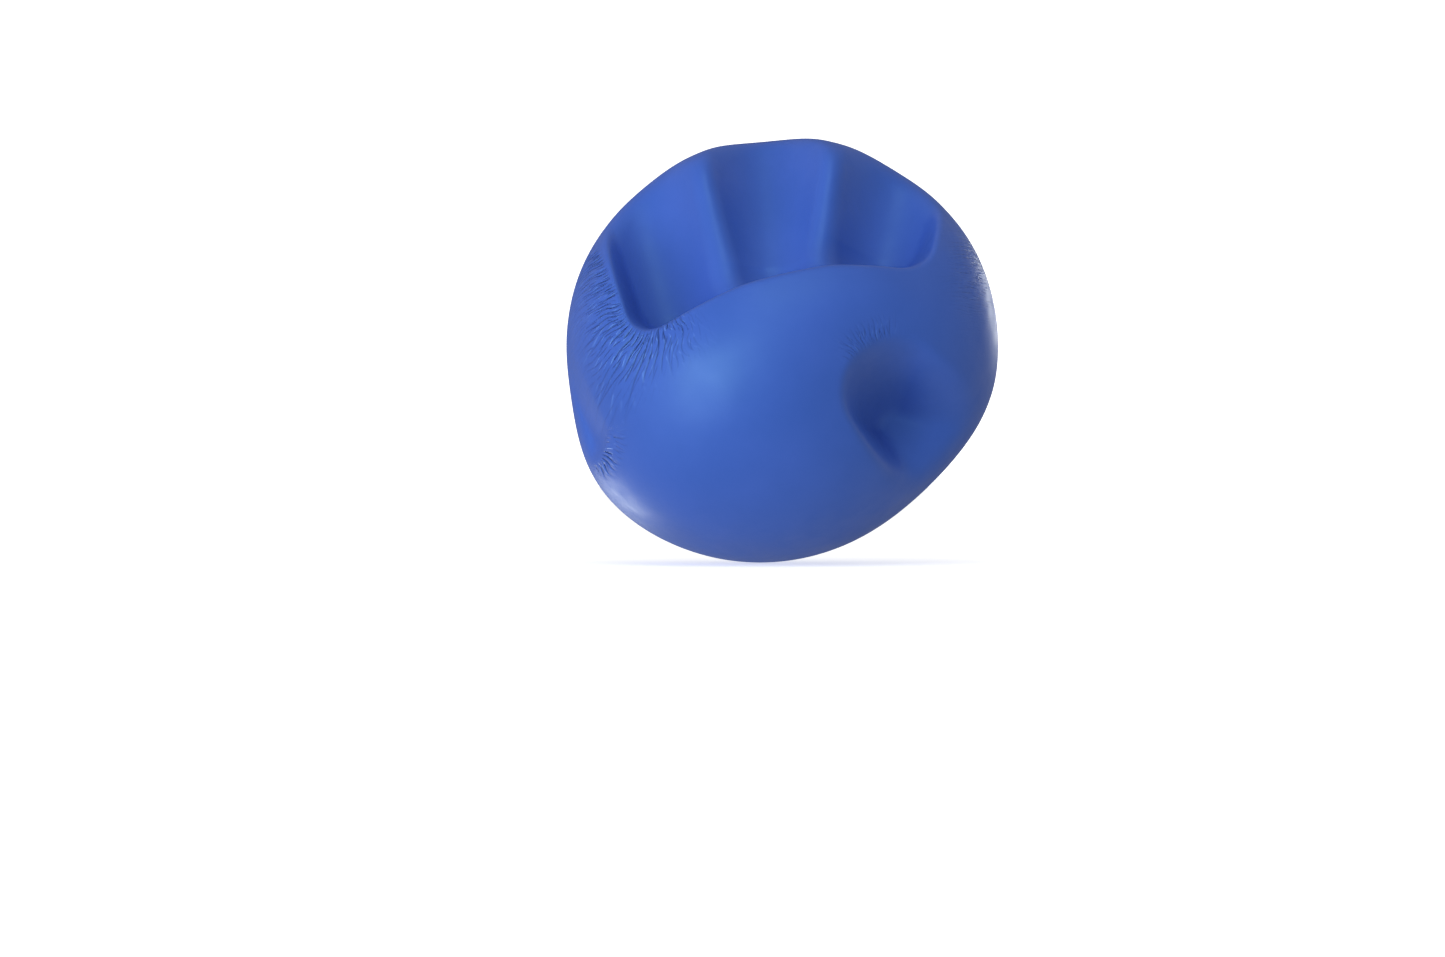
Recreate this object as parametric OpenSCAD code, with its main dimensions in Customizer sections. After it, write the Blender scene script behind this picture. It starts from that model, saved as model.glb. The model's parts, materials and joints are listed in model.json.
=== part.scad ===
// A foam stress ball, kept in the shape that a squeezing hand gives it.
// The origin is the centre of the round ball. +Z is up, -Y is the side that the fingertips press, and
// the palm flattens the side opposite to them. Layers from the outside in: a thin coloured coat in two
// halves, the dense rind of the foam, and its soft core. Under each fingertip a pad of foam sinks into
// its own pocket.

/* [Ball] */
// Diameter of the round ball
ball_d = 70; // [66:1:80]
// Thickness of the coloured coat
coat_t = 0.4; // [0.3:0.1:0.8]
// Thickness of the dense rind under the coat
rind_t = 1.2; // [0.8:0.1:2]
// Depth that the palm flattens the back by
palm_depth = 2.5; // [1.5:0.5:4]

/* [Pour plug] */
// Diameter of the trimmed stub of foam in the pour hole
plug_d = 7; // [5:0.5:9]
// Length of the stub, from the ball's surface into the core
plug_l = 5; // [4:0.5:8]

/* [Squeeze] */
// Depth of the three long fingers' pads, as squeezed
finger_depth = 16; // [10:1:17]
// Depth of the thumb's pad
thumb_depth = 10; // [6:1:11]
// Depth of the little finger's pad
little_depth = 5; // [3:1:6]
// How much further a harder squeeze takes every pad, as a share of its depth
squeeze_more = 0.19; // [0.1:0.01:0.2]
// Downward tilt of the long fingers' press
finger_tilt = 18; // [14:1:22]
// Turn of the long fingers' press to the right
finger_turn = 0; // [-4:1:4]

/* [Fingertips] */
// Half the width of the dent of a long finger
finger_r = 7.4; // [6:0.1:7.6]
// Half the width of the thumb's dent
thumb_r = 8.5; // [7:0.1:9]
// Half the width of the little finger's dent
little_r = 5.6; // [5:0.1:6.5]
// Thickness of the foam pad that sinks under a fingertip
pad_t = 4.5; // [3.5:0.1:5]

/* [Hidden] */
$fn = 96;

ball_r = ball_d / 2;
coat_in_r = ball_r - coat_t;          // inner radius of the coat
rind_in_r = coat_in_r - rind_t;       // inner radius of the rind
bond_gap = 0.05;                      // room between layers that are bonded to each other
slide_gap = 0.3;                      // room between a pad and the walls of its pocket
pad_reach = 28.5;                     // how far a pad spreads from its press axis
plug_axis = [23.5, 0, 22.4];          // rotation of the pour plug's axis from +Y: up, then to the left
coat_blue = [0.16, 0.36, 0.72];
pad_blue = [0.20, 0.42, 0.78];
rind_cream = [0.88, 0.84, 0.70];
core_cream = [0.95, 0.92, 0.80];

// Each fingertip: [press tilt, press turn, tip's place across and up, half width, lean, run, depth]
ring = [finger_tilt, finger_turn, [-18.2, 0.5], finger_r, 11, 32, finger_depth];
middle = [finger_tilt, finger_turn, [-2, 7.5], finger_r, 3, 28, finger_depth];
index = [finger_tilt, finger_turn, [16.2, 10.2], finger_r, -7, 24, finger_depth];
thumb = [-13, -31, [0, 0], thumb_r, -130, 9, thumb_depth];
little = [-26, 72, [0, 0], little_r, 8, 2, little_depth];
fingertips = [ring, middle, index, thumb, little];

function deepest(tip) = tip[6] * (1 + squeeze_more);

// Turns +Z into the direction that a fingertip comes from; X is then across the ball and Y is up it.
module press_frame(tip) rotate([-tip[0], 0, -tip[1]]) rotate([90, 0, 0]) children();

// Turns +Z into the direction that the palm faces the ball from.
module palm_frame() rotate([-finger_tilt, 0, -finger_turn]) rotate([-90, 0, 0]) children();

// The straight column that a fingertip presses in, from height low to height high of its press frame.
module finger_column(tip, low, high, gap = 0) {
    r = tip[3] + gap;
    intersection() {
        translate([tip[2][0], tip[2][1], low]) rotate(tip[4]) {
            cylinder(r = r, h = high - low);
            translate([-r, 0, 0]) cube([2 * r, tip[5], high - low]);
            translate([0, tip[5], 0]) cylinder(r = r, h = high - low);
        }
        translate([0, 0, low]) cylinder(r = pad_reach + gap, h = high - low);
    }
}

// A sphere whose poles lie across the press, so that neither is inside a fingertip's column.
module side_sphere(r) rotate([90, 0, 0]) sphere(r = r);

// The foam under one fingertip, sunk by its depth.
module pad(tip) {
    color(pad_blue) press_frame(tip) translate([0, 0, -tip[6]]) difference() {
        intersection() {
            finger_column(tip, 0, ball_r + 1);
            side_sphere(ball_r);
        }
        side_sphere(ball_r - pad_t);
    }
}

// The room that a pad needs, from outside the ball down to where the hardest squeeze takes it.
module pocket(tip) {
    sink = deepest(tip) + slide_gap;
    press_frame(tip) difference() {
        finger_column(tip, -sink, ball_r + 1, slide_gap);
        translate([0, 0, -sink]) side_sphere(ball_r - pad_t);
    }
}

module pockets() for (tip = fingertips) pocket(tip);

// The round ball of radius r, flattened at the back by the palm to the same depth for every layer.
module flattened_ball(r) {
    flat = r - palm_depth;
    intersection() {
        sphere(r = r);
        palm_frame() translate([0, 0, -2 * r]) cylinder(r = 2 * r, h = 2 * r + flat);
    }
}

// The half of space in front of (side = -1) or behind (side = 1) the parting plane.
module half_space(side) translate([-ball_d, side < 0 ? -2 * ball_d : 0, -ball_d]) cube(2 * ball_d);

module plug_shape(r, low, high) rotate(plug_axis) rotate([-90, 0, 0])
    translate([0, 0, low]) cylinder(r = r, h = high - low);

module plug_hole() plug_shape(plug_d / 2 + bond_gap, ball_r - plug_l - bond_gap, ball_r + 1);

// The coloured film between the outer surface and the rind, on one side of the parting plane.
module coat_half(side) {
    intersection() {
        difference() {
            flattened_ball(ball_r);
            flattened_ball(coat_in_r);
        }
        half_space(side);
    }
}

module coat_front() {
    color(coat_blue) difference() {
        coat_half(-1);
        pockets();
    }
}

module coat_back() {
    color(coat_blue) difference() {
        coat_half(1);
        plug_hole();
    }
}

module foam_rind() {
    color(rind_cream) difference() {
        flattened_ball(coat_in_r - bond_gap);
        flattened_ball(rind_in_r);
        pockets();
        plug_hole();
    }
}

module foam_core() {
    color(core_cream) difference() {
        flattened_ball(rind_in_r - bond_gap);
        pockets();
        plug_hole();
    }
}

module pour_plug() {
    color(core_cream) intersection() {
        plug_shape(plug_d / 2, ball_r - plug_l, ball_r + 1);
        sphere(r = ball_r);
    }
}

module ring_pad() pad(ring);
module middle_pad() pad(middle);
module index_pad() pad(index);
module thumb_pad() pad(thumb);
module little_pad() pad(little);

coat_front();
coat_back();
foam_rind();
foam_core();
pour_plug();
ring_pad();
middle_pad();
index_pad();
thumb_pad();
little_pad();
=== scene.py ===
import json
import math

import bpy
import numpy as np
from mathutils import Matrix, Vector

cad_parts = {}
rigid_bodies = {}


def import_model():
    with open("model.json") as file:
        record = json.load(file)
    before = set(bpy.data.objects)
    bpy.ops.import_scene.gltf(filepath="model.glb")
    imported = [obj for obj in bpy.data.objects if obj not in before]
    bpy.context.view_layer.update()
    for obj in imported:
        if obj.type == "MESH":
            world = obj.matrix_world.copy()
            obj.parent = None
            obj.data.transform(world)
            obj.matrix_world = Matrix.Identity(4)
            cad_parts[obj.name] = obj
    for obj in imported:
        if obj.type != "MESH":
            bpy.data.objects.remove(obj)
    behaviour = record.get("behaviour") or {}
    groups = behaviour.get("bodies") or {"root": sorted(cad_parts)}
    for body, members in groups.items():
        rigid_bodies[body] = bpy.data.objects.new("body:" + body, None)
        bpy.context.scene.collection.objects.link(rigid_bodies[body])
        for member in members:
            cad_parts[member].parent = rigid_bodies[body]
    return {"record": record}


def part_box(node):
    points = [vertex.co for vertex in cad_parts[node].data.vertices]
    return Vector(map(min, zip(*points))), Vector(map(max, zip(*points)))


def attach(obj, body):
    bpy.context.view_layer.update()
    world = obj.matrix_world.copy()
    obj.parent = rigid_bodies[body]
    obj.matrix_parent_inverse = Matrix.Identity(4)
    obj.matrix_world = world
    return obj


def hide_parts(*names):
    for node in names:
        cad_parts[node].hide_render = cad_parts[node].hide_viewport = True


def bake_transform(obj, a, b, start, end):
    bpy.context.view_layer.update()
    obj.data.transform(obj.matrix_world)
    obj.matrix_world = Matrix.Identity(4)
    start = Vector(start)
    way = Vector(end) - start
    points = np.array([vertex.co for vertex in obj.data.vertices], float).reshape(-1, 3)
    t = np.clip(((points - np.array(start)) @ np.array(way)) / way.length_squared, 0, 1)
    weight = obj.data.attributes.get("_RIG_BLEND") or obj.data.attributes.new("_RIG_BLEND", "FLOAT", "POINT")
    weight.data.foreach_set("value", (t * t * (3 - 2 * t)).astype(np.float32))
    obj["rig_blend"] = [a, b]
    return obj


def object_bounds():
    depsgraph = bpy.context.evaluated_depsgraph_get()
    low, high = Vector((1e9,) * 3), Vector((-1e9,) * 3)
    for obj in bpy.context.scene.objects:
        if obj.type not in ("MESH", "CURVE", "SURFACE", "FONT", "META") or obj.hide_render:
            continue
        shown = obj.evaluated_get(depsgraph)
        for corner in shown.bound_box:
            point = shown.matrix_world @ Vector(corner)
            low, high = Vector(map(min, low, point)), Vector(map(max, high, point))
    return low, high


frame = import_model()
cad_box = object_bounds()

# A foam stress ball as a squeezing hand leaves it. Shapes are worked out in millimetres and turned into
# metres when a mesh is made. Every skin point is the round ball's own point moved along one line, the
# press, by a depth. That depth, over the press joint's travel, is the point's blend weight, so the
# joint's lower limit gives back the round ball. Only the base's shift to the left, and the creases'
# bump shading, painted shade and painted highlights, stay.

MM = 0.001
UP = np.array([0.0, 0.0, 1.0])

joints = {joint["name"]: joint for joint in frame["record"]["behaviour"]["joints"]}
press_joint = joints["middle_press"]
PRESS = np.array(press_joint["axis"], float)              # the way the fingertips push
TRAVEL = -press_joint["range_m"][0] / MM                  # from the round ball to the squeezed one
BALL_R = (cad_box[1][0] - cad_box[0][0]) / 2 / MM
ACROSS = np.array([1.0, 0.0, 0.0])                        # across the fingers
ALONG = np.cross(ACROSS, PRESS)                           # up along the fingers
PALM_FLAT = np.dot(frame["record"]["mounts"][0]["pos_m"], PRESS) / MM

COAT_T = 0.4            # coloured film
RIND_T = 1.2            # dense foam under it
LAYER_GAP = 0.05
PARTING_DEPTH = 0.07    # of the groove where the two halves of the coat meet


# ---------------------------------------------------------------- small numeric helpers

def smooth_step(t):
    """0 up to 0, 1 from 1 on, and a smooth rise between."""
    t = np.clip(t, 0, 1)
    return t * t * t * (t * (6 * t - 15) + 10)


def smooth_min(a, b, width):
    """The lower of a and b, rounded where they are within width of each other."""
    h = np.maximum(width - np.abs(a - b), 0) / width
    return np.minimum(a, b) - h * h * width / 4


def smooth_max(a, b, width):
    return -smooth_min(-a, -b, width)


def hash_grid(ix, iy, seed):
    """A repeatable number from 0 to 1 for each whole-number grid point."""
    h = (ix * 374761393 + iy * 668265263 + seed * 974634777) & 0xFFFFFFFF
    h = ((h ^ (h >> 13)) * 1274126177) & 0xFFFFFFFF
    return ((h ^ (h >> 16)) & 0xFFFF) / 65535.0


def noise(x, y, seed):
    """Smooth value noise from 0 to 1 with one grid cell per unit."""
    ix, iy = np.floor(x).astype(np.int64), np.floor(y).astype(np.int64)
    fx, fy = smooth_step(x - ix), smooth_step(y - iy)
    low = hash_grid(ix, iy, seed) * (1 - fx) + hash_grid(ix + 1, iy, seed) * fx
    high = hash_grid(ix, iy + 1, seed) * (1 - fx) + hash_grid(ix + 1, iy + 1, seed) * fx
    return low * (1 - fy) + high * fy


# ---------------------------------------------------------------- the dents

def finger_line(u, v, tip, lean):
    """Place along a finger, from the centre of its round tip up, and place across it."""
    s, c = math.sin(math.radians(lean)), math.cos(math.radians(lean))
    du, dv = u - tip[0], v - tip[1]
    return -s * du + c * dv, c * du + s * dv


def from_capsule(along, across):
    """Distance from a finger's centre line, which starts at its tip."""
    return np.hypot(np.minimum(along, 0), across)


def round_the_edge(along, across, r):
    """Length along the outline of a finger, 0 at the bottom of its tip and negative to the left."""
    tip_arc = r * np.arctan2(across, np.maximum(-along, 1e-9))
    side = np.sign(across) * (r * math.pi / 2 + along)
    return np.where(along < 0, tip_arc, side)


def from_line(u, v, start, end):
    """Distance to the right of the line from start to end."""
    du, dv = end[0] - start[0], end[1] - start[1]
    return ((u - start[0]) * dv - (v - start[1]) * du) / math.hypot(du, dv)


def from_taper(u, v, a, ra, b, rb):
    """Signed distance to the round-ended taper between two circles."""
    bu, bv = b[0] - a[0], b[1] - a[1]
    length = math.hypot(bu, bv)
    along = ((u - a[0]) * bu + (v - a[1]) * bv) / length
    across = np.abs((u - a[0]) * bv - (v - a[1]) * bu) / length
    lean = (ra - rb) / length
    run = math.sqrt(1 - lean * lean)
    place = along * run - across * lean
    side = across * run + along * lean - ra
    return np.where(place < 0, np.hypot(across, along) - ra,
                    np.where(place > run * length, np.hypot(across, along - length) - rb, side))


# A dent's floor is given as a height in front of the ball's middle, measured along the press, so that
# it runs out smoothly where the round ball drops below it.

# Each long finger's groove: [tip across and along, lean to the left in degrees, height at the tip, fall]
RING = ((-18.2, 0.5), 14, 13.4, 0.20)
MIDDLE = ((-2.0, 7.5), 3, 16.0, 0.34)
INDEX = ((15.9, 10.2), -12, 12.5, 0.22)
FINGERS = (RING, MIDDLE, INDEX)
FINGER_R = 8.5          # half the width of a finger
BOWL = 6.5              # how much higher a groove's floor is at its edge than along its middle
WEB_BLEND = 9.0         # how round the webs between the grooves are
RUN_OUT = 8.0           # how softly a floor meets the round ball
LIP = (-0.3, 0.25, -0.0053)                     # the lip under the fingertips: height, slope and bend
LIP_SLANT = 0.96        # turns a height below the lip into a distance from it
RING_SIDE = ((-25.9, -1.3), (-29.5, 10.6))      # left end of the grooves, from its foot up
INDEX_SIDE = ((26.9, 16.4), (23.2, 5.1))        # right end of the grooves, from its top down
RING_CORNER, INDEX_CORNER = 6.0, 5.0            # how round the lip's corners with those ends are

# The thumb and the little finger are placed as seen from the front, across and up
THUMB_TIP, THUMB_TIP_R = (17.5, -7.8), 9.2
THUMB_BASE, THUMB_BASE_R = (28.5, -18.8), 13.3
THUMB_HEIGHT, THUMB_FALL, THUMB_BOWL = 8.0, 0.10, 2.0          # its floor, as for the grooves
THUMB_RUN_OUT = 15.0
LITTLE_TIP, LITTLE_LEAN, LITTLE_R = (-33.8, -14.6), 26, 6.1
LITTLE_HEIGHT = 3.5

# A dent's wall: how far outside the outline it starts, and how wide it is
GROOVE_WALL, THUMB_WALL, LITTLE_WALL = (1.2, 5.4), (1.6, 10.0), (0.9, 4.0)
# The skin round a dent is pulled in with it: by how much, and how far out
GROOVE_PULL, THUMB_PULL, LITTLE_PULL = (2.2, 2.4), (2.0, 2.8), (1.4, 1.8)

BULGE, BULGE_PLACE, BULGE_WIDTH = 2.0, (-8.0, -9.5), 14.0      # foam pushed out between the dents
FRONT_FADE = 9.0        # height at which the pull and the bulge reach their full amount
BASE_SHIFT = 3.6        # how far the squeeze pushes the bottom of the ball to the left, for good
BASE_TOP, BASE_RUN = -2.0, 30.0                 # where that push starts, and how far down it grows
PALM_EDGE = 1.6         # how round the edge of the palm's flat is


def wall(edge, lip, width):
    """0 outside a dent to 1 inside it. edge is the distance outside its outline."""
    return smooth_step((lip - edge) / width)


def shoulder(edge, drop, reach):
    """How far the skin round a dent is pulled in with it."""
    return drop / (1 + np.exp(np.clip((edge - 1) / reach, -40, 40)))


def sunk(height, floor, run_out=RUN_OUT):
    """Depth from the round ball down to a dent's floor."""
    return height - smooth_min(height, floor, run_out)


def join(*depths):
    """The deepest of several depths, rounded where they meet and still nothing where all are nothing."""
    return sum(np.maximum(d, 0) ** 3 for d in depths) ** (1 / 3)


def groove_edge(across, along):
    """Distance outside the one outline that the three long fingers' grooves share."""
    lip = (LIP[0] + LIP[1] * across + LIP[2] * across ** 2 - along) * LIP_SLANT
    left = -from_line(across, along, *RING_SIDE)
    right = -from_line(across, along, *INDEX_SIDE)
    return smooth_max(smooth_max(lip, left, RING_CORNER), right, INDEX_CORNER)


def groove_depth(across, along, height):
    """(depth of the three grooves, distance outside their outline)"""
    floor = None
    for tip, lean, start, fall in FINGERS:
        up, side = finger_line(across, along, tip, lean)
        away = from_capsule(up, side)
        this = start - fall * np.maximum(up, 0) + BOWL * (away / FINGER_R) ** 2
        floor = this if floor is None else smooth_min(floor, this, WEB_BLEND)
    edge = groove_edge(across, along)
    return sunk(height, floor) * wall(edge, *GROOVE_WALL), edge


def thumb_depth(x, z, height):
    """(depth of the thumb's dent, distance outside its outline)"""
    edge = from_taper(x, z, THUMB_TIP, THUMB_TIP_R, THUMB_BASE, THUMB_BASE_R)
    towards = np.array(THUMB_BASE) - np.array(THUMB_TIP)
    length = np.linalg.norm(towards)
    along = ((x - THUMB_TIP[0]) * towards[0] + (z - THUMB_TIP[1]) * towards[1]) / length
    across = ((x - THUMB_TIP[0]) * towards[1] - (z - THUMB_TIP[1]) * towards[0]) / length
    half_width = THUMB_TIP_R + (THUMB_BASE_R - THUMB_TIP_R) / length * np.maximum(along, 0)
    bowl = THUMB_BOWL * (across ** 2 + np.minimum(along, 0) ** 2) / half_width ** 2
    floor = THUMB_HEIGHT - THUMB_FALL * along + bowl
    return sunk(height, floor, THUMB_RUN_OUT) * wall(edge, *THUMB_WALL), edge


def little_depth(x, z, height):
    """(depth of the little finger's dent, distance outside its outline)"""
    up, side = finger_line(x, z, LITTLE_TIP, LITTLE_LEAN)
    edge = from_capsule(up, side) - LITTLE_R
    return sunk(height, LITTLE_HEIGHT) * wall(edge, *LITTLE_WALL), edge


def base_shift(z):
    """How far the ball is pushed to the left at height z."""
    return BASE_SHIFT * smooth_step((BASE_TOP - z) / BASE_RUN)


def round_ball(points):
    """Points on the unit sphere as points on the ball before it is pressed, with its base pushed left."""
    placed = points * BALL_R
    placed[:, 0] -= base_shift(placed[:, 2])
    return placed


def press(points):
    """How far each point of the unit sphere is pressed in, with no creases."""
    placed = round_ball(points)
    x, z = placed[:, 0], placed[:, 2]
    across, along = placed @ ACROSS, placed @ ALONG
    height = -(placed @ PRESS)
    grooves, groove_out = groove_depth(across, along, height)
    thumb, thumb_out = thumb_depth(x, z, height)
    little, little_out = little_depth(x, z, height)
    pulled = join(
        shoulder(groove_out, *GROOVE_PULL),
        shoulder(thumb_out, *THUMB_PULL),
        shoulder(little_out, *LITTLE_PULL),
    )
    front = smooth_step(height / FRONT_FADE)
    away = ((x - BULGE_PLACE[0]) ** 2 + (z - BULGE_PLACE[1]) ** 2) / BULGE_WIDTH ** 2
    flat = smooth_max(-height - PALM_FLAT, 0, PALM_EDGE)
    return join(grooves, thumb, little, pulled * front) - BULGE * np.exp(-away) * front - flat


# ---------------------------------------------------------------- the creases round the fingertips

# Creases run straight out from a fingertip's outline. round is the length along that outline, bent a
# little so that creases wander and bunch. out is the distance from the outline, and share is how strongly
# the skin is creased there.

CREASE_PITCH = 0.78     # from one larger crease to the next
CREASE_HALF_WIDTH = 0.4                         # of a larger crease, as a share of the pitch
CREASE_DEPTH = 0.20
CREASE_START, CREASE_RISE = -1.0, 1.5           # how far out creases start, and over how much they grow
CREASE_WANDER = 0.95    # how far a crease strays sideways
WANDER_CELL = (3.3, 2.6)                        # creases stray together in patches of this size
DASH_LENGTH = 1.9       # how long the pieces are that a larger crease is broken into
DASH_RARE, DASH_SOFT = 0.32, 0.2                # how rare those pieces are, and how soft their ends
CREASE_FADE = 4.5       # distance from the fingertip over which the larger creases weaken
CREASE_LEFT = 0.3       # the share of their strength that they keep far from it
FACING_RUN = 6.0        # creases fade over this height in front of the ball's middle
PARTING_CLEAR, PARTING_RUN = 0.6, 4.5           # they end this far from the parting line, over that much

# Beside each fingertip: [strength, reach outwards, start and end along its outline, fade after the start,
# fade before the end]
RING_CREASES = (1.0, 11.0, -34, 5, 8, 7)
LITTLE_CREASES = (0.95, 4.2, -5, 9, 4, 4)
THUMB_CREASES = (0.5, 4.2, -11, 1, 4, 4)

# At the upper right, beyond the index finger: [strength, middle, how widely they spread, squared]
EAR_CREASES = (0.6, (31, 13), (14, 60))
EAR_EDGE = 27           # how far across the creases there start


def creased_beside(place, out, strength, reach, start, end, fade_in, fade_out):
    """How strongly a fingertip creases the skin at a place along its outline and out from it."""
    window = smooth_step((place - start) / fade_in) * smooth_step((end - place) / fade_out)
    outside = smooth_step((out - CREASE_START) / CREASE_RISE)
    return strength * window * outside * (1 - smooth_step(out / reach))


def crease_fields(points):
    """(round, out, share) of the skin's creases at points on the unit sphere."""
    placed = round_ball(points)
    x, z = placed[:, 0], placed[:, 2]
    across, along = placed @ ACROSS, placed @ ALONG

    up, side = finger_line(across, along, RING[0], RING[1])
    ring_round, ring_out = round_the_edge(up, side, FINGER_R), groove_edge(across, along)
    ring = creased_beside(ring_round, ring_out, *RING_CREASES)

    up, side = finger_line(x, z, LITTLE_TIP, LITTLE_LEAN)
    little_round, little_out = round_the_edge(up, side, LITTLE_R), from_capsule(up, side) - LITTLE_R
    little = creased_beside(little_round, little_out, *LITTLE_CREASES)

    thumb_round = np.arctan2(x - THUMB_TIP[0], z - THUMB_TIP[1]) * THUMB_TIP_R
    thumb_out = from_taper(x, z, THUMB_TIP, THUMB_TIP_R, THUMB_BASE, THUMB_BASE_R)
    thumb = creased_beside(thumb_round, thumb_out, *THUMB_CREASES)

    strength, middle, spread = EAR_CREASES
    ear = strength * np.exp(-(x - middle[0]) ** 2 / spread[0] - (z - middle[1]) ** 2 / spread[1])

    # The added lengths give each place a pattern of its own, and the factors set its pitch.
    share = np.stack([ring, little, thumb, ear])
    pick = share.argmax(0)
    rounds = np.choose(pick, [ring_round, little_round * 1.1 + 90, thumb_round + 160, z * 1.2 + 230])
    outs = np.choose(pick, [ring_out, little_out, thumb_out, x - EAR_EDGE])
    rounds = rounds + CREASE_WANDER * (noise(rounds / WANDER_CELL[0], outs / WANDER_CELL[1], 5) - 0.5)

    facing = smooth_step(-(placed @ PRESS) / FACING_RUN)
    off_parting = smooth_step((-placed[:, 1] - PARTING_CLEAR) / PARTING_RUN)
    return rounds, outs, share.max(0) * (facing * off_parting)


def crease_strength(rounds, outs, share):
    """0 to 1 where the larger creases are. Each is broken into dashes and fades out from the fingertip."""
    place = rounds / CREASE_PITCH
    line = np.round(place)
    valley = np.clip(1 - np.abs(place - line) / CREASE_HALF_WIDTH, 0, 1) ** 1.5
    # The factor of line gives neighbouring creases different dashes.
    dashes = smooth_step((noise(line * 7.31, outs / DASH_LENGTH, 7) - DASH_RARE) / DASH_SOFT)
    near = CREASE_LEFT + (1 - CREASE_LEFT) * np.exp(-np.maximum(outs, 0) / CREASE_FADE)
    return valley * dashes * near * share


# ---------------------------------------------------------------- the skin meshes

class HalfBall:
    """The front (side -1) or back (side 1) half of a unit ball as a grid of quads wrapped from a cube."""

    def __init__(self, cells, side):
        a = np.tan((np.arange(cells + 1) / cells * 2 - 1) * math.pi / 4)
        u, v = np.meshgrid(a, a, indexing="ij")
        one = np.ones_like(u)
        sheets = [(one, u, v), (-one, v, u), (v, one, u), (u, -one, v), (u, v, one), (v, u, -one)]
        flat = np.concatenate([np.stack(sheet, -1).reshape(-1, 3) for sheet in sheets])
        flat /= np.linalg.norm(flat, axis=1, keepdims=True)
        _, first, back = np.unique(np.round(flat, 7), axis=0, return_index=True, return_inverse=True)
        self.points = flat[first]
        self.ids = back.reshape(6, cells + 1, cells + 1)
        self.side = side
        self.quads = self.grid(1)
        used = np.unique(self.quads)
        renumber = np.full(len(self.points), -1)
        renumber[used] = np.arange(len(used))
        self.points = self.points[used]
        self.ids = renumber[self.ids]
        self.quads = renumber[self.quads]
        self.rim = np.abs(self.points[:, 1]) < 1e-6
        self.points[self.rim, 1] = 0

    def grid(self, step):
        """The half's quads, with only every step-th line of the grid."""
        i = self.ids
        quads = np.stack(
            [i[:, :-step:step, :-step:step], i[:, step::step, :-step:step],
             i[:, step::step, step::step], i[:, :-step:step, step::step]], -1
        ).reshape(-1, 4)
        quads = quads[(quads >= 0).all(1)]
        middle = self.points[quads].mean(1)[:, 1]
        return quads[middle * self.side > 1e-9]

    def spread(self, finer_creased, rounds=12, steps=9):
        """Slides the grid over the ball, so that it is finer where the skin is stretched and creased."""
        edges = np.concatenate([self.quads[:, [0, 1]], self.quads[:, [1, 2]],
                                self.quads[:, [2, 3]], self.quads[:, [3, 0]]])
        edges = np.unique(np.sort(edges, 1), axis=0)
        a, b = edges.T
        n = len(self.points)
        for _ in range(rounds):
            shaped = pressed(self.points)
            share = crease_fields(self.points)[2] if finer_creased else np.zeros(n)
            stretch = np.linalg.norm(shaped[a] - shaped[b], axis=1) / (
                np.linalg.norm(self.points[a] - self.points[b], axis=1) * BALL_R)
            stretch = np.clip(stretch, 0.7, 6)      # so that no cell gets far smaller than the others
            pull = stretch * (1 + finer_creased * np.sqrt((share[a] + share[b]) / 2))
            total = np.bincount(a, pull, n) + np.bincount(b, pull, n)
            for _ in range(steps):
                moved = np.empty_like(self.points)
                for k in range(3):
                    moved[:, k] = (np.bincount(a, pull * self.points[b, k], n)
                                   + np.bincount(b, pull * self.points[a, k], n)) / total
                moved[self.rim] = self.points[self.rim]
                self.points = moved / np.linalg.norm(moved, axis=1, keepdims=True)


def pressed(points):
    """The smooth pressed ball's surface at points on the unit sphere."""
    return round_ball(points) + press(points)[:, None] * PRESS


def normals_at(points, step=0.002):
    """Outward normals of the smooth pressed ball, from the slope of its surface each way."""
    helper = np.where(np.abs(points[:, 2:]) < 0.8, UP, ACROSS)
    first = np.cross(helper, points)
    first /= np.linalg.norm(first, axis=1, keepdims=True)
    second = np.cross(points, first)
    slopes = []
    for way in (first, second):
        ahead, behind = points + step * way, points - step * way
        ahead /= np.linalg.norm(ahead, axis=1, keepdims=True)
        behind /= np.linalg.norm(behind, axis=1, keepdims=True)
        slopes.append(pressed(ahead) - pressed(behind))
    normal = np.cross(slopes[0], slopes[1])
    return normal / np.linalg.norm(normal, axis=1, keepdims=True)


def outward(points, quads):
    """The quads, turned so that they all face away from the centre of the ball."""
    a, b, c = (points[quads[:, k]] for k in (0, 1, 2))
    inward = (np.cross(b - a, c - a) * a).sum(1) < 0
    quads = quads.copy()
    quads[inward] = quads[inward][:, ::-1]
    return quads


def make_object(name, points, faces, material):
    mesh = bpy.data.meshes.new(name)
    mesh.from_pydata((points * MM).tolist(), [], [list(map(int, f)) for f in faces])
    mesh.validate()
    mesh.update()
    mesh.shade_smooth()
    piece = bpy.data.objects.new(name, mesh)
    bpy.context.scene.collection.objects.link(piece)
    mesh.materials.append(material)
    return piece


def set_values(piece, name, values):
    attribute = piece.data.attributes.get(name) or piece.data.attributes.new(name, "FLOAT", "POINT")
    attribute.data.foreach_set("value", np.ascontiguousarray(values, np.float32))


def give_with_the_press(piece, depth):
    """Makes each point follow the press joint by its own depth, so that releasing it makes it round."""
    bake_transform(piece, "ball", "middle_press_foam", start=(0, 0, 0), end=tuple(PRESS * MM))
    set_values(piece, "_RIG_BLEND", depth / TRAVEL)


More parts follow.
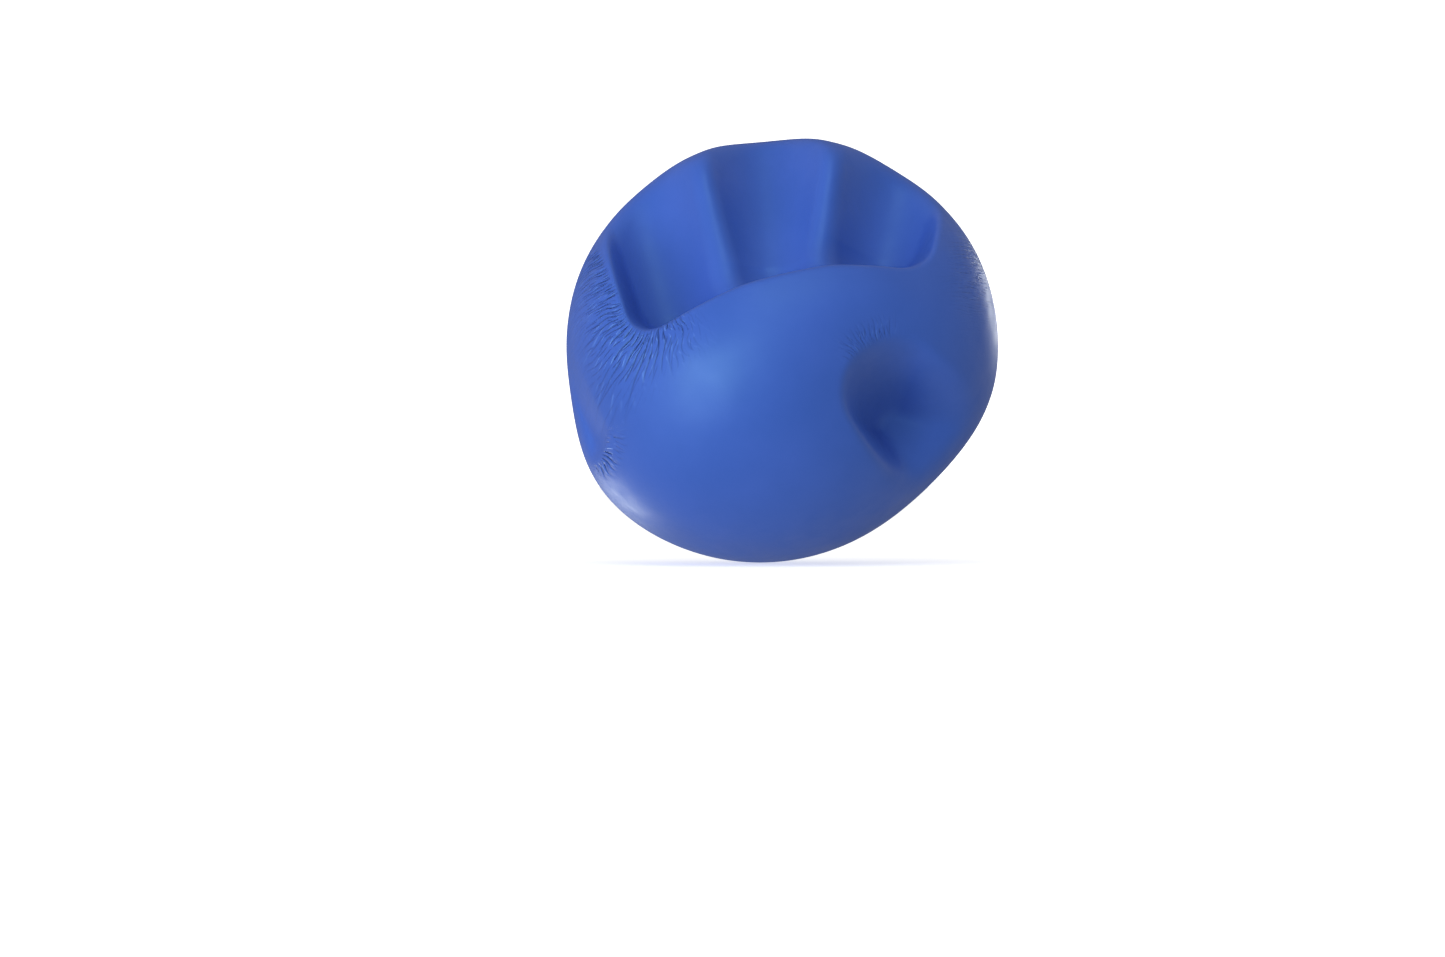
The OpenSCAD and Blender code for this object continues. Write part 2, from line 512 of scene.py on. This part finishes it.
def depth_under(points, under, outer_depth, sphere_points):
    """The depth of points that lie under the skin, such that releasing them puts them under a round one."""
    across = points @ ACROSS + base_shift(sphere_points[:, 2] * BALL_R)
    along, height = points @ ALONG, -(points @ PRESS)
    left = (BALL_R - under) ** 2 - across ** 2 - along ** 2
    released = np.sqrt(np.maximum(left, 0))
    # Near the ball's side, and where it is hardly pressed, a point follows the skin over it instead.
    front = (released > 4) & (outer_depth > 0.3)
    return np.where(front, released - height, outer_depth)


def rim_loop(half, step):
    """The rim's points in order round the ball, only every step-th of them."""
    ids = np.unique(half.grid(step))
    ids = ids[half.rim[ids]]
    angle = np.arctan2(half.points[ids, 2], half.points[ids, 0])
    return ids[np.argsort(angle)]


def coat_piece(name, half, step, material):
    """One half of the coat: a fine outer face, a coarser inner one, and the edge between them."""
    quads = outward(half.points, half.quads)
    depth = press(half.points)
    smooth = round_ball(half.points) + depth[:, None] * PRESS
    normals = normals_at(half.points)
    rounds, outs, share = crease_fields(half.points)
    strength = crease_strength(rounds, outs, share)
    facing = np.clip(-(normals @ PRESS), 0.3, 1)
    creased = CREASE_DEPTH * strength / facing
    parting = PARTING_DEPTH * half.rim
    outer = smooth + creased[:, None] * PRESS - parting[:, None] * normals

    coarse = outward(half.points, half.grid(step))
    kept = np.unique(coarse)
    renumber = np.full(len(half.points), -1)
    renumber[kept] = np.arange(len(kept)) + len(outer)
    inner = smooth[kept] - COAT_T * normals[kept]
    inner_quads = renumber[coarse][:, ::-1]

    fine_rim, coarse_rim = rim_loop(half, 1), rim_loop(half, step)
    at = {p: k for k, p in enumerate(fine_rim)}
    edge_faces = []
    for k, start in enumerate(coarse_rim):
        end = coarse_rim[(k + 1) % len(coarse_rim)]
        here = at[start]
        run = [fine_rim[(here + m) % len(fine_rim)] for m in range(step + 1)]
        loop = run + [renumber[end], renumber[start]]
        edge_faces.append(loop if half.side < 0 else loop[::-1])

    points = np.concatenate([outer, inner])
    faces = list(quads) + list(inner_quads) + edge_faces
    piece = make_object(name, points, faces, material)
    fields = {"round": rounds, "out": outs, "share": share, "strength": strength}
    for field, values in fields.items():
        set_values(piece, "crease_" + field, np.concatenate([values, np.zeros(len(inner))]))
    inner_depth = depth_under(inner, COAT_T, depth[kept], half.points[kept])
    give_with_the_press(piece, np.concatenate([depth + creased, inner_depth]))
    return piece


def whole_ball(cells):
    """Points and outward quads of the whole unit ball."""
    halves = [HalfBall(cells, side) for side in (-1, 1)]
    for half in halves:
        half.spread(finer_creased=0, rounds=8)
    points = np.concatenate([half.points for half in halves])
    quads = np.concatenate([halves[0].quads, halves[1].quads + len(halves[0].points)])
    _, first, back = np.unique(np.round(points, 7), axis=0, return_index=True, return_inverse=True)
    points = points[first]
    return points, outward(points, back.reshape(-1)[quads])


def foam_surface(points, under):
    """(the pressed ball's surface, moved in by under, the depth of each point)."""
    depth = press(points)
    moved = round_ball(points) + depth[:, None] * PRESS - under * normals_at(points)
    return moved, depth_under(moved, under, depth, points)


# ---------------------------------------------------------------- materials

BASE_BLUE = (0.037, 0.094, 0.440)
DEEP_BLUE, CLOUD_BLUE = (0.033, 0.089, 0.420), (0.041, 0.100, 0.460)     # darkest and lightest clouds
RIDGE_HIGHLIGHT_BLUE = (0.085, 0.190, 0.600)      # painted highlight: light flecks on the ridges between the creases
FINE_CREASE_SHADE = (0.015, 0.040, 0.235)       # painted shade in the fine creases
WIDE_CREASE_SHADE = (0.010, 0.028, 0.160)       # painted shade in the larger creases
RIND_LIGHT, RIND_DARK = (0.74, 0.66, 0.45), (0.64, 0.56, 0.36)
CORE_LIGHT, CORE_DARK = (0.86, 0.80, 0.62), (0.78, 0.70, 0.50)

# Lines in the coat: [pitch, slant, thickness as a share of the pitch]. The wide ones lie on the mesh's own
# creases. The others are too fine for the mesh and are broken into dashes: [width, length, how rare]
WIDE_LINES = (CREASE_PITCH, 0, 0.36)
FINE_LINES, FINE_DASHES = (0.55, 0.22, 0.34), (0.7, 1.8, 0.45)
RIDGE_LINES, RIDGE_DASHES = (0.72, -0.20, 0.34), (0.9, 1.5, 0.50)


class Tree:
    """The nodes of a material or of the world, with a short way to add each kind."""

    def __init__(self, owner):
        owner.use_nodes = True
        self.nodes, self.links = owner.node_tree.nodes, owner.node_tree.links

    def place(self):
        return self.nodes.new("ShaderNodeTexCoord").outputs["Object"]

    def field(self, name):
        node = self.nodes.new("ShaderNodeAttribute")
        node.attribute_name = name
        return node.outputs["Fac"]

    def noise(self, place, scale, detail=3.0, roughness=0.5):
        node = self.nodes.new("ShaderNodeTexNoise")
        node.inputs["Scale"].default_value = scale
        node.inputs["Detail"].default_value = detail
        node.inputs["Roughness"].default_value = roughness
        self.links.new(place, node.inputs["Vector"])
        return node.outputs["Fac"]

    def calculate(self, operation, first, second):
        node = self.nodes.new("ShaderNodeMath")
        node.operation = operation
        self.links.new(first, node.inputs[0])
        if isinstance(second, (int, float)):
            node.inputs[1].default_value = second
        else:
            self.links.new(second, node.inputs[1])
        return node.outputs["Value"]

    def remap(self, value, low, high, from_low=0.0, from_high=1.0):
        node = self.nodes.new("ShaderNodeMapRange")
        node.inputs["From Min"].default_value = from_low
        node.inputs["From Max"].default_value = from_high
        node.inputs["To Min"].default_value = low
        node.inputs["To Max"].default_value = high
        self.links.new(value, node.inputs["Value"])
        return node.outputs["Result"]

    def mix(self, share, first, second):
        node = self.nodes.new("ShaderNodeMix")
        node.data_type = "RGBA"
        self.links.new(share, node.inputs["Factor"])
        for socket, colour in ((node.inputs["A"], first), (node.inputs["B"], second)):
            if isinstance(colour, tuple):
                socket.default_value = (*colour, 1)
            else:
                self.links.new(colour, socket)
        return node.outputs["Result"]

    def bump(self, height, distance_mm, strength, before=None, sunk_in=False):
        node = self.nodes.new("ShaderNodeBump")
        node.invert = sunk_in
        node.inputs["Distance"].default_value = distance_mm * MM
        node.inputs["Strength"].default_value = strength
        self.links.new(height, node.inputs["Height"])
        if before is not None:
            self.links.new(before, node.inputs["Normal"])
        return node.outputs["Normal"]


def new_material(name, base, roughness):
    material = bpy.data.materials.new(name)
    tree = Tree(material)
    shader = tree.nodes["Principled BSDF"]
    shader.inputs["Base Color"].default_value = (*base, 1)
    shader.inputs["Roughness"].default_value = roughness
    return material, tree, shader


def crease_lines(tree, rounds, outs, pitch, slant, thickness):
    """1 on thin lines that run out from the fingertips, pitch apart and thickness of a pitch wide."""
    slanted = tree.calculate("MULTIPLY", outs, slant)
    place = tree.calculate("DIVIDE", tree.calculate("ADD", rounds, slanted), pitch)
    away = tree.calculate("PINGPONG", place, 0.5)
    return tree.remap(away, 1, 0, 0, thickness / 2)


def crease_dashes(tree, rounds, outs, width, length, rare):
    """1 in long patches, about width by length, and 0 between them. A higher rare makes fewer of them."""
    place = tree.nodes.new("ShaderNodeCombineXYZ")
    tree.links.new(tree.calculate("DIVIDE", rounds, width), place.inputs["X"])
    tree.links.new(tree.calculate("DIVIDE", outs, length), place.inputs["Y"])
    patches = tree.noise(place.outputs["Vector"], 1.0, 1.0, 0.4)
    return tree.remap(patches, 0, 1, rare, rare + 0.1)


def dashed_lines(tree, rounds, outs, share, lines, dashes):
    """Lines broken into dashes, where share says that the skin is creased."""
    drawn = crease_lines(tree, rounds, outs, *lines)
    drawn = tree.calculate("MULTIPLY", drawn, crease_dashes(tree, rounds, outs, *dashes))
    return tree.calculate("MULTIPLY", drawn, share)


def coat_material():
    """Satin blue elastomer: cloudy colour, faint orange peel, creases round the fingertips with painted
    shade and painted highlights.
    """
    material, tree, shader = new_material("satin_blue_coat", BASE_BLUE, 0.44)
    shader.inputs["Specular Tint"].default_value = (0.45, 0.95, 1.0, 1)
    shader.inputs["Specular IOR Level"].default_value = 0.42
    place = tree.place()
    rounds, outs, share, strength = (
        tree.field("crease_" + name) for name in ("round", "out", "share", "strength")
    )
    wide = tree.calculate("MULTIPLY", crease_lines(tree, rounds, outs, *WIDE_LINES), strength)
    fine = dashed_lines(tree, rounds, outs, share, FINE_LINES, FINE_DASHES)
    ridge = dashed_lines(tree, rounds, outs, share, RIDGE_LINES, RIDGE_DASHES)

    clouds = tree.noise(place, 60, 4, 0.6)
    colour = tree.mix(tree.remap(clouds, 0, 1, 0.3, 0.7), DEEP_BLUE, CLOUD_BLUE)
    # Painted highlight: light blue flecks on the ridges between the creases.
    colour = tree.mix(tree.remap(ridge, 0, 0.9, 0, 0.8), colour, RIDGE_HIGHLIGHT_BLUE)
    # Painted shade: the fine and the larger creases are darkened in the base colour.
    colour = tree.mix(tree.remap(fine, 0, 0.85, 0, 0.6), colour, FINE_CREASE_SHADE)
    colour = tree.mix(tree.remap(wide, 0, 0.95, 0, 0.45), colour, WIDE_CREASE_SHADE)
    tree.links.new(colour, shader.inputs["Base Color"])

    patches = tree.noise(place, 180, 5, 0.6)
    tree.links.new(tree.remap(patches, 0.37, 0.52, 0.3, 0.7), shader.inputs["Roughness"])

    peel = tree.noise(place, 2400, 2, 0.5)
    grain = tree.noise(place, 7000, 2, 0.6)
    normal = tree.bump(peel, 0.03, 0.4)
    normal = tree.bump(grain, 0.01, 0.35, normal)
    normal = tree.bump(wide, 0.14, 0.9, normal, sunk_in=True)
    normal = tree.bump(fine, 0.08, 0.8, normal, sunk_in=True)
    normal = tree.bump(ridge, 0.06, 0.8, normal)
    tree.links.new(normal, shader.inputs["Normal"])
    return material


def foam_material(name, light, dark, cell_mm):
    """Cream polyurethane foam with open cells of about cell_mm."""
    material, tree, shader = new_material(name, light, 0.85)
    place = tree.place()
    cells = tree.nodes.new("ShaderNodeTexVoronoi")
    cells.inputs["Scale"].default_value = 1 / (cell_mm * MM)
    tree.links.new(place, cells.inputs["Vector"])
    mottle = tree.noise(place, 260, 4, 0.6)
    colour = tree.mix(tree.remap(mottle, 0, 1, 0.3, 0.7), dark, light)
    tree.links.new(colour, shader.inputs["Base Color"])
    tree.links.new(tree.bump(cells.outputs["Distance"], 0.15, 0.7), shader.inputs["Normal"])
    return material


def glow(shader, strength):
    shader.inputs["Emission Color"].default_value = (1, 1, 1, 1)
    shader.inputs["Emission Strength"].default_value = strength


def floor_material():
    """Matt white board, bright enough by itself to leave only a soft shadow."""
    material, tree, shader = new_material("pale_floor", (0.9, 0.9, 0.9), 0.8)
    grain = tree.noise(tree.place(), 40, 3)
    tree.links.new(tree.mix(grain, (0.88, 0.88, 0.885), (0.92, 0.92, 0.92)), shader.inputs["Base Color"])
    glow(shader, 0.60)
    return material


def backdrop_material():
    material, _, shader = new_material("white_backdrop", (0.9, 0.9, 0.9), 1.0)
    glow(shader, 1.0)
    return material


# ---------------------------------------------------------------- the pieces

FRONT_CELLS, BACK_CELLS, FOAM_CELLS = 160, 96, 80       # grid cells along each edge of the wrapped cube
INNER_STEP = 2                                          # the coat's inner face is this much coarser
RIND_CELL, CORE_CELL = 0.25, 0.6                        # sizes of the foams' open cells

STUB_R = 3.45
STUB_PROUD = 0.28       # how far the middle of the stub's face stands out of the ball
STUB_DOME = 0.10        # how much less its edge stands out
STUB_DEPTH = 3.0        # how far the stub reaches into the ball
STUB_ROUGH = 0.05       # how rough its face is


def pour_stub(material):
    """The trimmed stub of foam in the pour hole: a short plug with a rough, slightly domed face."""
    low, high = (np.array(corner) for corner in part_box("pour_plug"))
    middle = (low + high) / 2
    axis = middle / np.linalg.norm(middle)
    side = np.cross(axis, UP)
    side /= np.linalg.norm(side)
    up = np.cross(side, axis)
    rings, turns = 14, 72
    angle = np.arange(turns) / turns * 2 * math.pi

    # Each ring's radius, and its height above the round ball there: the face, its edge and the side
    profile = [
        (STUB_R * k / rings, STUB_PROUD - STUB_DOME * (k / rings) ** 4) for k in range(1, rings + 1)
    ]
    profile += [(STUB_R + 0.06, 0.08), (STUB_R + 0.02, -0.15), (STUB_R, -STUB_DEPTH)]

    points = [axis * (BALL_R + STUB_PROUD)]
    for k, (r, proud) in enumerate(profile):
        ragged = r * (1 + 0.015 * np.sin(angle * 5 + 1) + 0.01 * np.sin(angle * 11 + 2))
        rough = STUB_ROUGH * (noise(np.cos(angle) * r * 1.6 + 20, np.sin(angle) * r * 1.6 + 20, 3) - 0.5)
        out = ragged[:, None] * (np.cos(angle)[:, None] * side + np.sin(angle)[:, None] * up)
        height = np.sqrt(BALL_R ** 2 - r * r) + proud + (rough if k < rings else 0)
        points += list(out + axis * np.broadcast_to(height, turns)[:, None])

    faces = [[0, 1 + (m + 1) % turns, 1 + m] for m in range(turns)]
    for k in range(len(profile) - 1):
        a, b = 1 + k * turns, 1 + (k + 1) * turns
        faces += [[a + m, a + (m + 1) % turns, b + (m + 1) % turns, b + m] for m in range(turns)]
    last = 1 + (len(profile) - 1) * turns
    faces.append([last + m for m in range(turns)])
    return make_object("soft_pour_stub", np.array(points), faces, material)


coat = coat_material()
rind_foam = foam_material("dense_foam", RIND_LIGHT, RIND_DARK, RIND_CELL)
core_foam = foam_material("open_foam", CORE_LIGHT, CORE_DARK, CORE_CELL)

front_half = HalfBall(FRONT_CELLS, -1)
front_half.spread(finer_creased=2.2)
coat_front = coat_piece("soft_coat_front", front_half, INNER_STEP, coat)
back_half = HalfBall(BACK_CELLS, 1)
coat_back = coat_piece("soft_coat_back", back_half, INNER_STEP, coat)

ball_points, ball_quads = whole_ball(FOAM_CELLS)
rind_out, rind_out_depth = foam_surface(ball_points, COAT_T + LAYER_GAP)
rind_in, rind_in_depth = foam_surface(ball_points, COAT_T + RIND_T)
core_out, core_depth = foam_surface(ball_points, COAT_T + RIND_T + LAYER_GAP)
rind_faces = list(ball_quads) + list(ball_quads[:, ::-1] + len(ball_points))
rind = make_object("soft_rind", np.concatenate([rind_out, rind_in]), rind_faces, rind_foam)
give_with_the_press(rind, np.concatenate([rind_out_depth, rind_in_depth]))
core = make_object("soft_core", core_out, ball_quads, core_foam)
give_with_the_press(core, core_depth)
stub = pour_stub(core_foam)
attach(stub, "ball")

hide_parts("coat_front", "ring_pad", "middle_pad", "index_pad", "thumb_pad", "little_pad")
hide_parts("coat_back")
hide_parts("foam_rind")
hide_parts("foam_core")
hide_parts("pour_plug")


# ---------------------------------------------------------------- floor, light and camera

FLOOR_SIZE, DOME_R = 12, 5.5                    # metres
FLOOR_GAP = 0.2 * MM                            # between the CAD ball and the floor
CAMERA_LENS, SENSOR_WIDTH = 92.1, 36            # millimetres
CAMERA_PLACE = (-0.00966, -0.6, -0.02135)       # metres. The camera looks straight along +Y.


def make_floor():
    """A white board that neither lights the ball nor shows in its gloss."""
    place = (0, 0, cad_box[0][2] - FLOOR_GAP)
    bpy.ops.mesh.primitive_grid_add(x_subdivisions=8, y_subdivisions=8, size=FLOOR_SIZE, location=place)
    floor = bpy.context.object
    floor.name = "floor"
    floor.data.materials.append(floor_material())
    floor.visible_diffuse = False
    floor.visible_glossy = False
    floor.visible_shadow = False


def area_light(name, place, aim, size, power):
    """A round white lamp. place and aim are points in metres, size is its width, and power is in watts."""
    data = bpy.data.lights.new(name, "AREA")
    data.shape = "DISK"
    data.size = size
    data.energy = power
    lamp = bpy.data.objects.new(name, data)
    lamp.location = place
    lamp.rotation_euler = (Vector(aim) - Vector(place)).to_track_quat("-Z", "Y").to_euler()
    bpy.context.scene.collection.objects.link(lamp)


def surroundings(round_about, behind):
    """Even white light from the room, dimmer from behind the ball."""
    world = bpy.data.worlds.new("white_room")
    bpy.context.scene.world = world
    tree = Tree(world)
    direction = tree.nodes.new("ShaderNodeTexCoord").outputs["Generated"]
    split = tree.nodes.new("ShaderNodeSeparateXYZ")
    tree.links.new(direction, split.inputs["Vector"])
    strength = tree.remap(split.outputs["Y"], round_about, behind, 0.45, 0.9)
    tree.links.new(strength, tree.nodes["Background"].inputs["Strength"])
    tree.nodes["Background"].inputs["Color"].default_value = (1, 1, 1, 1)


def make_backdrop():
    """A white dome that only the camera sees, so that it puts no glare on the ball."""
    bpy.ops.mesh.primitive_uv_sphere_add(segments=48, ring_count=24, radius=DOME_R)
    dome = bpy.context.object
    dome.name = "backdrop"
    dome.data.materials.append(backdrop_material())
    dome.visible_diffuse = False
    dome.visible_glossy = False
    dome.visible_transmission = False
    dome.visible_shadow = False


make_floor()
make_backdrop()
surroundings(0.53, 0.26)
area_light("key", (-0.60, -0.55, -0.14), (0, 0, 0), 0.60, 4.2)
area_light("key_right", (-0.26, -0.76, 0.07), (0, 0, 0), 0.40, 1.2)
area_light("top", (-0.05, -0.50, 0.62), (0, 0, 0), 0.55, 1.2)
area_light("low_left", (-0.33, 0.52, -0.30), (-0.02, 0, -0.02), 0.20, 0.62)
area_light("right_rim", (0.33, 0.62, 0.08), (0, 0, 0), 0.14, 0.35)

camera_data = bpy.data.cameras.new("camera")
camera_data.lens = CAMERA_LENS
camera_data.sensor_width = SENSOR_WIDTH
camera_data.clip_start = 0.01
camera = bpy.data.objects.new("camera", camera_data)
camera.location = CAMERA_PLACE
camera.rotation_euler = (math.pi / 2, 0, 0)
bpy.context.scene.collection.objects.link(camera)
bpy.context.scene.camera = camera
bpy.context.scene.view_settings.view_transform = "Standard"
